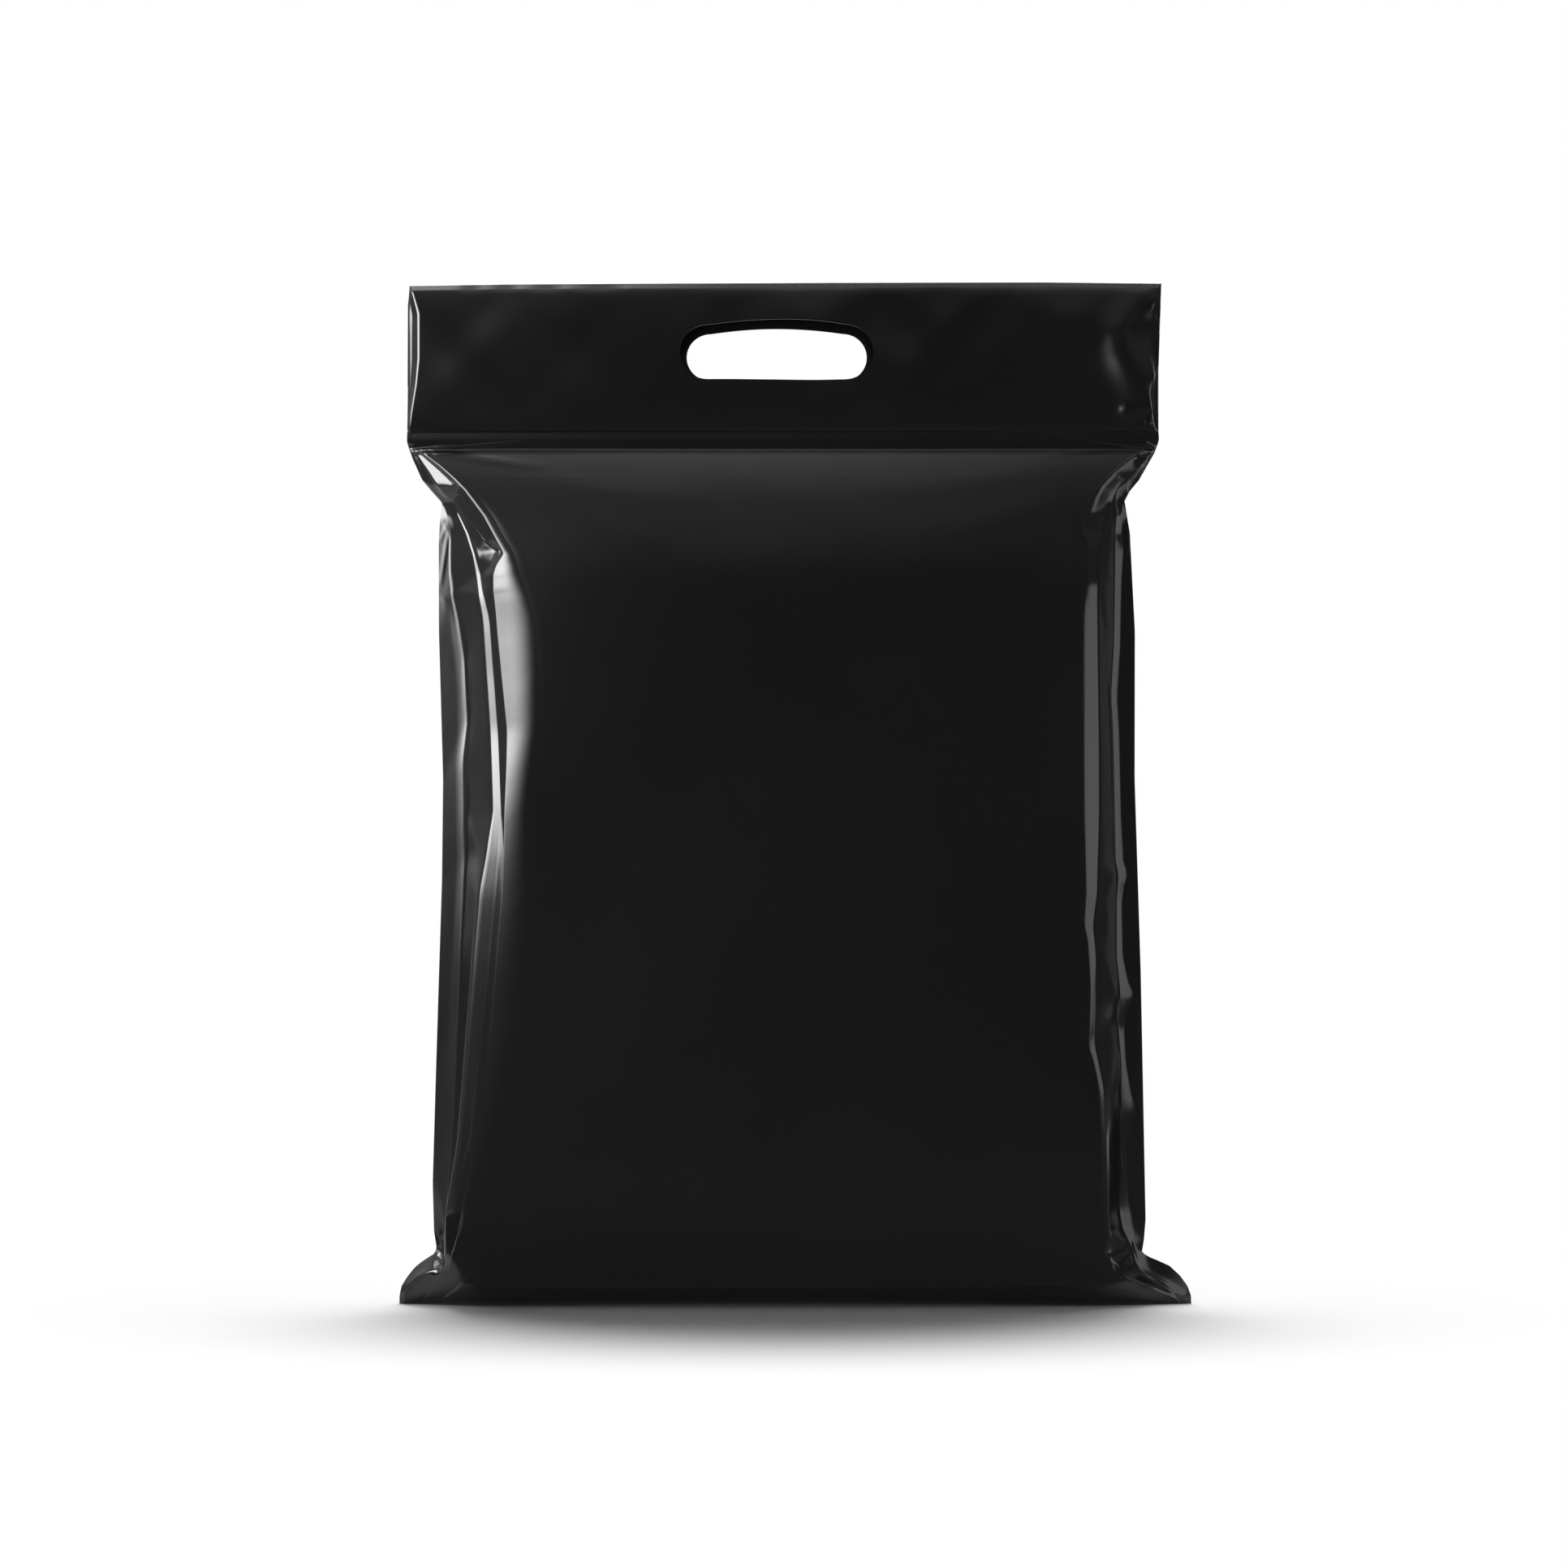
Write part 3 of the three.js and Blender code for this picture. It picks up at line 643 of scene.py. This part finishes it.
def mesh_object(name, points, faces):
    """An object whose mesh has these points, given in millimetres, and these faces."""
    mesh = bpy.data.meshes.new(name)
    mesh.from_pydata([[c * METRES for c in p] for p in points], [], faces)
    mesh.validate()
    made = bpy.data.objects.new(name, mesh)
    bpy.context.scene.collection.objects.link(made)
    return made


film = mesh_object("mailer_bag_film", points, faces)


slot_shift = -7.8
slot_level = top_fold - 39.0


def slot_cutter(name, width, height, arch, lift, near, far):
    """The punch of one handle slot: round ends and a top edge that arches in the middle."""
    steps = 24
    radius = height / 2
    straight = width / 2 - radius
    outline = []
    for i in range(steps + 1):
        turn = math.pi / 2 * (2 * i / steps - 1)
        outline.append((straight + radius * math.cos(turn), radius * math.sin(turn)))
    for i in range(1, steps):
        across = 1 - 2 * i / steps
        outline.append((straight * across, radius + arch * (1 - across**2)))
    for i in range(steps + 1):
        turn = math.pi / 2 * (1 + 2 * i / steps)
        outline.append((-straight + radius * math.cos(turn), radius * math.sin(turn)))
    count = len(outline)
    at = [(x + slot_shift, y, z + slot_level + lift) for y in (near, far) for x, z in outline]
    faces = [list(range(count)), list(range(2 * count - 1, count - 1, -1))]
    faces += [[(i + 1) % count, i, i + count, (i + 1) % count + count] for i in range(count)]
    return mesh_object(name, at, faces)


# The slot is punched through the front and, a little smaller, through the back.
punches = [slot_cutter("front_punch", width=100, height=29, arch=2.6, lift=0, near=-30, far=0.2),
           slot_cutter("back_punch", width=94, height=25, arch=2.6, lift=-0.2, near=0.2, far=30)]
for punch in punches:
    cut = film.modifiers.new(punch.name, "BOOLEAN")
    cut.operation = "DIFFERENCE"
    cut.solver = "EXACT"
    cut.object = punch
bpy.context.view_layer.update()
cut_mesh = bpy.data.meshes.new_from_object(film.evaluated_get(bpy.context.evaluated_depsgraph_get()))
film.modifiers.clear()
film.data = cut_mesh
for punch in punches:
    bpy.data.objects.remove(punch)
sharpest_fold = math.radians(78)
for face in film.data.polygons:
    face.use_smooth = True
film.data.set_sharp_from_angle(angle=sharpest_fold)


class Shade:
    """A shader socket. + - and * on it add Math nodes, and node() adds any other node."""

    def __init__(self, tree, socket=None):
        self.tree = tree
        self.socket = socket

    def node(self, kind, settings=None, inlets=None, outlet=0):
        """A new node of that type with its settings and the values or links of its sockets."""
        made = self.tree.nodes.new(kind)
        for name, value in (settings or {}).items():
            setattr(made, name, value)
        for name, value in (inlets or {}).items():
            if isinstance(value, Shade):
                self.tree.links.new(value.socket, made.inputs[name])
            else:
                made.inputs[name].default_value = value
        return Shade(self.tree, made.outputs[outlet])

    def math(self, operation, *values):
        return self.node("ShaderNodeMath", {"operation": operation}, dict(enumerate(values)))

    def __add__(self, other):
        return self.math("ADD", self, other)

    def __radd__(self, other):
        return self.math("ADD", other, self)

    def __sub__(self, other):
        return self.math("SUBTRACT", self, other)

    def __rsub__(self, other):
        return self.math("SUBTRACT", other, self)

    def __mul__(self, other):
        return self.math("MULTIPLY", self, other)

    def __rmul__(self, other):
        return self.math("MULTIPLY", other, self)

    def between(self, low, high):
        """0 to 1, smooth, as this value goes from low to high."""
        return self.node("ShaderNodeMapRange", {"interpolation_type": "SMOOTHSTEP"},
                         {0: self, 1: low, 2: high})


def new_material(name):
    """A material with no nodes yet, and a Shade to start its nodes from."""
    material = bpy.data.materials.new(name)
    material.use_nodes = True
    tree = material.node_tree
    tree.nodes.clear()
    return material, Shade(tree)


def finish_material(shade, surface):
    """Gives the material its surface."""
    output = shade.tree.nodes.new("ShaderNodeOutputMaterial")
    shade.tree.links.new(surface.socket, output.inputs["Surface"])


# The film's finish: a deep black gloss with a faint haze, a fine peel, and a slightly rough weld line
# along the flap's lower edge.
black_film, start = new_material("black_film")
place = start.node("ShaderNodeTexCoord", outlet=3)
haze = start.node("ShaderNodeTexNoise", None, {"Vector": place, "Scale": 9.0, "Detail": 4.0})
grain = start.node("ShaderNodeTexNoise", None, {"Vector": place, "Scale": 420.0, "Detail": 2.0})
peel = start.node("ShaderNodeTexNoise", None, {"Vector": place, "Scale": 60.0, "Detail": 3.0})
level_up = start.node("ShaderNodeSeparateXYZ", None, {"Vector": place}, outlet=2)
weld_start, weld_full, weld_fading, weld_end = [(flap_edge + up) * METRES for up in (0, 0.6, 2.8, 3.6)]
weld = level_up.between(weld_start, weld_full) * (1 - level_up.between(weld_fading, weld_end))
relief = peel * 0.5 + grain * 0.06 + weld * grain * 0.9
bumped = start.node("ShaderNodeBump", None, {"Strength": 0.25, "Distance": 0.0004, "Height": relief})
deep_black = (0.0050, 0.0050, 0.0053, 1)
hazy_black = (0.0085, 0.0085, 0.009, 1)
tint = start.node("ShaderNodeMix", {"data_type": "RGBA"}, {0: haze, 6: deep_black, 7: hazy_black},
                  outlet=2)
surface = start.node("ShaderNodeBsdfPrincipled", None, {
    "Base Color": tint, "Roughness": 0.11 + haze * 0.07 + weld * 0.05, "IOR": 1.51, "Normal": bumped})
finish_material(start, surface)
film.data.materials.clear()
film.data.materials.append(black_film)

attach(film, "root")
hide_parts("mailer_bag")


# The ground: a plain white floor that keeps the bag's soft shadow close to the bag. Away from the bag it
# glows white for the camera and the gloss, the same white as the background. The glow starts on an ellipse
# round the bag, so painted light covers the shadow's tail beyond it. It is stage, and isn't part of the
# bag.
white = (1, 1, 1, 1)
floor_front, floor_back, floor_side = -560, 2200, 1700
floor = mesh_object("floor", [(-floor_side, floor_front, 0), (floor_side, floor_front, 0),
                              (floor_side, floor_back, 0), (-floor_side, floor_back, 0)], [[0, 1, 2, 3]])
white_floor, start = new_material("white_floor")
place = start.node("ShaderNodeTexCoord", outlet=3)
shadow_stretch = (0.58, 1, 1)
across = start.node("ShaderNodeVectorMath", {"operation": "MULTIPLY"}, {0: place, 1: shadow_stretch})
distance = start.node("ShaderNodeVectorMath", {"operation": "LENGTH"}, {0: across}, outlet=1)
path = start.tree.nodes.new("ShaderNodeLightPath")
seen = Shade(start.tree, path.outputs["Is Camera Ray"]) + Shade(start.tree, path.outputs["Is Glossy Ray"])
seen = seen + Shade(start.tree, path.outputs["Is Transmission Ray"])
matt_white = (0.93, 0.93, 0.93, 1)
matt = start.node("ShaderNodeBsdfDiffuse", None, {"Color": matt_white})
white_glow = start.node("ShaderNodeEmission", None, {"Color": white, "Strength": 1.0})
# The floor's glow rises between these stretched distances from the bag. Beyond them, painted light covers
# the shadow.
shadow_full, shadow_end = 0.08, 0.235
far_and_seen = distance.between(shadow_full, shadow_end) * seen
surface = start.node("ShaderNodeMixShader", None, {0: far_and_seen, 1: matt, 2: white_glow})
finish_material(start, surface)
floor.data.materials.append(white_floor)


# The studio: a softbox over and behind the bag lights the floor, and a low one in front lights the film's
# own colour. Clear glowing screens at both sides and overhead are there for the gloss to mirror. A dim
# grey glowing sheet on the floor, which only the gloss sees, paints a dark reflection of shade into the
# film.
def softbox(name, size, place, aim, radiance):
    """An area lamp of that width and height at a place, turned to a point."""
    lamp = bpy.data.lights.new(name, "AREA")
    lamp.shape = "RECTANGLE"
    lamp.size, lamp.size_y = size
    lamp.energy = radiance * math.pi * size[0] * size[1]
    made = bpy.data.objects.new(name, lamp)
    made.location = place
    made.rotation_euler = (Vector(aim) - Vector(place)).to_track_quat("-Z", "Y").to_euler()
    bpy.context.scene.collection.objects.link(made)
    return made


def unseen(made):
    """Leaves an object to the gloss alone: the camera, diffuse light and shadows don't see it."""
    made.visible_camera = False
    made.visible_diffuse = False
    made.visible_shadow = False


def screen(name, size, place, turn, radiance, across, up, long_tail=False):
    """A clear screen that glows, which only the gloss mirrors. Its light rises and fades between the four
    (start, full, full, end) places across it and up it, in metres from its middle."""
    wide, high = size[0] / 2, size[1] / 2
    corners = (-wide, -high), (wide, -high), (wide, high), (-wide, high)
    made = mesh_object(name, [(x / METRES, 0, z / METRES) for x, z in corners], [[0, 1, 2, 3]])
    made.location = place
    made.rotation_euler = turn
    glow, start = new_material(name)
    split = start.tree.nodes.new("ShaderNodeSeparateXYZ")
    start.tree.links.new(start.node("ShaderNodeTexCoord", outlet=3).socket, split.inputs["Vector"])
    strength = radiance
    for axis, (fade_in, full_in, full_out, fade_out) in (("X", across), ("Z", up)):
        at = Shade(start.tree, split.outputs[axis])
        strength = at.between(fade_in, full_in) * (1 - at.between(full_out, fade_out)) * strength
        if axis == "X" and long_tail:
            strength = strength * (1 - at.between(full_out, fade_out))
    emission = start.node("ShaderNodeEmission", None, {"Color": white, "Strength": strength})
    clear = start.node("ShaderNodeBsdfTransparent")
    finish_material(start, start.node("ShaderNodeAddShader", None, {0: emission, 1: clear}))
    made.data.materials.append(glow)
    unseen(made)


softbox("top_softbox", size=(1.7, 1.5), place=(0.0, 0.78, 1.6), aim=(0, 0.0, 0.1), radiance=5.2)
front_fill = softbox("front_fill", size=(1.6, 0.5), place=(-0.4, -2.2, 0.08), aim=(0, 0, 0.3),
                     radiance=9.0)
front_fill.visible_glossy = False

# The side screens stand this far from the bag, and this far round from the camera's line.
left_away, left_turn = 1.6, math.radians(50)
right_away, right_turn = 1.5, math.radians(-52)
screen("left_screen", size=(2.6, 1.8),
       place=(-left_away * math.sin(left_turn), -left_away * math.cos(left_turn), 1.0),
       turn=(0, 0, -left_turn), radiance=18.5,
       across=(-0.94, -0.46, -0.1, 1.3), up=(-0.8, -0.32, 0.6, 0.9), long_tail=True)
screen("right_screen", size=(2.4, 1.4),
       place=(-right_away * math.sin(right_turn), -right_away * math.cos(right_turn), 0.72),
       turn=(0, 0, -right_turn), radiance=1.7,
       across=(-0.56, -0.36, 0.6, 1.0), up=(-0.68, -0.6, -0.12, -0.02))

# Three more hang overhead for the sloping shoulder and the top fold to mirror. Each is a little lower
# than the last, so that no two lie in one plane.
overhead = (math.radians(90), 0, 0)
screen("far_ceiling", size=(4.0, 4.0), place=(0, -1.8, 1.8), turn=overhead, radiance=0.34,
       across=(-1.8, -1.2, 0.0, 1.5), up=(-2.0, -1.8, -1.5, 1.9))
screen("near_ceiling", size=(2.6, 1.5), place=(0, -0.55, 1.79), turn=overhead, radiance=0.44,
       across=(-1.2, -0.6, -0.2, 0.8), up=(-0.62, -0.35, -0.3, 0.65))
screen("left_ceiling", size=(1.0, 0.5), place=(-0.42, 0, 1.78), turn=overhead, radiance=2.2,
       across=(-0.5, -0.35, 0.1, 0.37), up=(-0.24, -0.1, 0.06, 0.2))

# A flat sheet on the floor in front and at the right glows a dim grey that only the gloss sees. It paints
# a dark reflection into the film in place of the white floor: painted shade in the gloss.
sheet_level = 3
sheet_corners = [(-480, -1180), (230, -1180), (230, -24), (-420, -24), (-420, -150), (-300, -250),
                (1400, -1180), (1400, 600), (230, 600)]
shade_reflection_sheet = mesh_object("shade_reflection_sheet", [(x, y, sheet_level) for x, y in sheet_corners],
                   [[0, 1, 5], [1, 2, 5], [2, 3, 4, 5], [1, 6, 7, 8, 2]])
# Painted shade: the sheet's dim grey glow, which the film mirrors instead of the white floor.
painted_reflection_grey = 0.13
painted_dark_reflection, start = new_material("painted_dark_reflection")
finish_material(start, start.node("ShaderNodeEmission", None, {"Color": white, "Strength": painted_reflection_grey}))
shade_reflection_sheet.data.materials.append(painted_dark_reflection)
unseen(shade_reflection_sheet)

# The room: a dim, even grey. The gloss also sees a pale wall at the left that is brighter higher up, a
# faint one at the right and a pale one behind, and the camera sees plain white.
world = bpy.data.worlds.new("studio")
bpy.context.scene.world = world
world.use_nodes = True
world.node_tree.nodes.clear()
start = Shade(world.node_tree)
direction = start.node("ShaderNodeTexCoord", outlet=0)
split = start.tree.nodes.new("ShaderNodeSeparateXYZ")
start.tree.links.new(direction.socket, split.inputs["Vector"])
sideways, backward, upward = (Shade(start.tree, split.outputs[axis]) for axis in "XYZ")
path = start.tree.nodes.new("ShaderNodeLightPath")
camera_ray = Shade(start.tree, path.outputs["Is Camera Ray"])
gloss_ray = Shade(start.tree, path.outputs["Is Glossy Ray"])
left_wall, left_wall_top, right_wall, back_wall, dim_grey = 0.28, 0.55, 0.14, 1.0, 0.08
from_left = (left_wall + left_wall_top * upward.between(0.12, 0.45)) * (0 - sideways).between(0.24, 0.54)
from_right = right_wall * upward.between(0.2, 0.5) * sideways.between(0.2, 0.5)
behind = back_wall * backward.between(0.72, 0.9)
room = dim_grey + (from_left + from_right + behind) * gloss_ray
strength = camera_ray.math("MAXIMUM", camera_ray, room * (1 - camera_ray))
background = start.node("ShaderNodeBackground", None, {"Color": white, "Strength": strength})
output = start.tree.nodes.new("ShaderNodeOutputWorld")
start.tree.links.new(background.socket, output.inputs["Surface"])
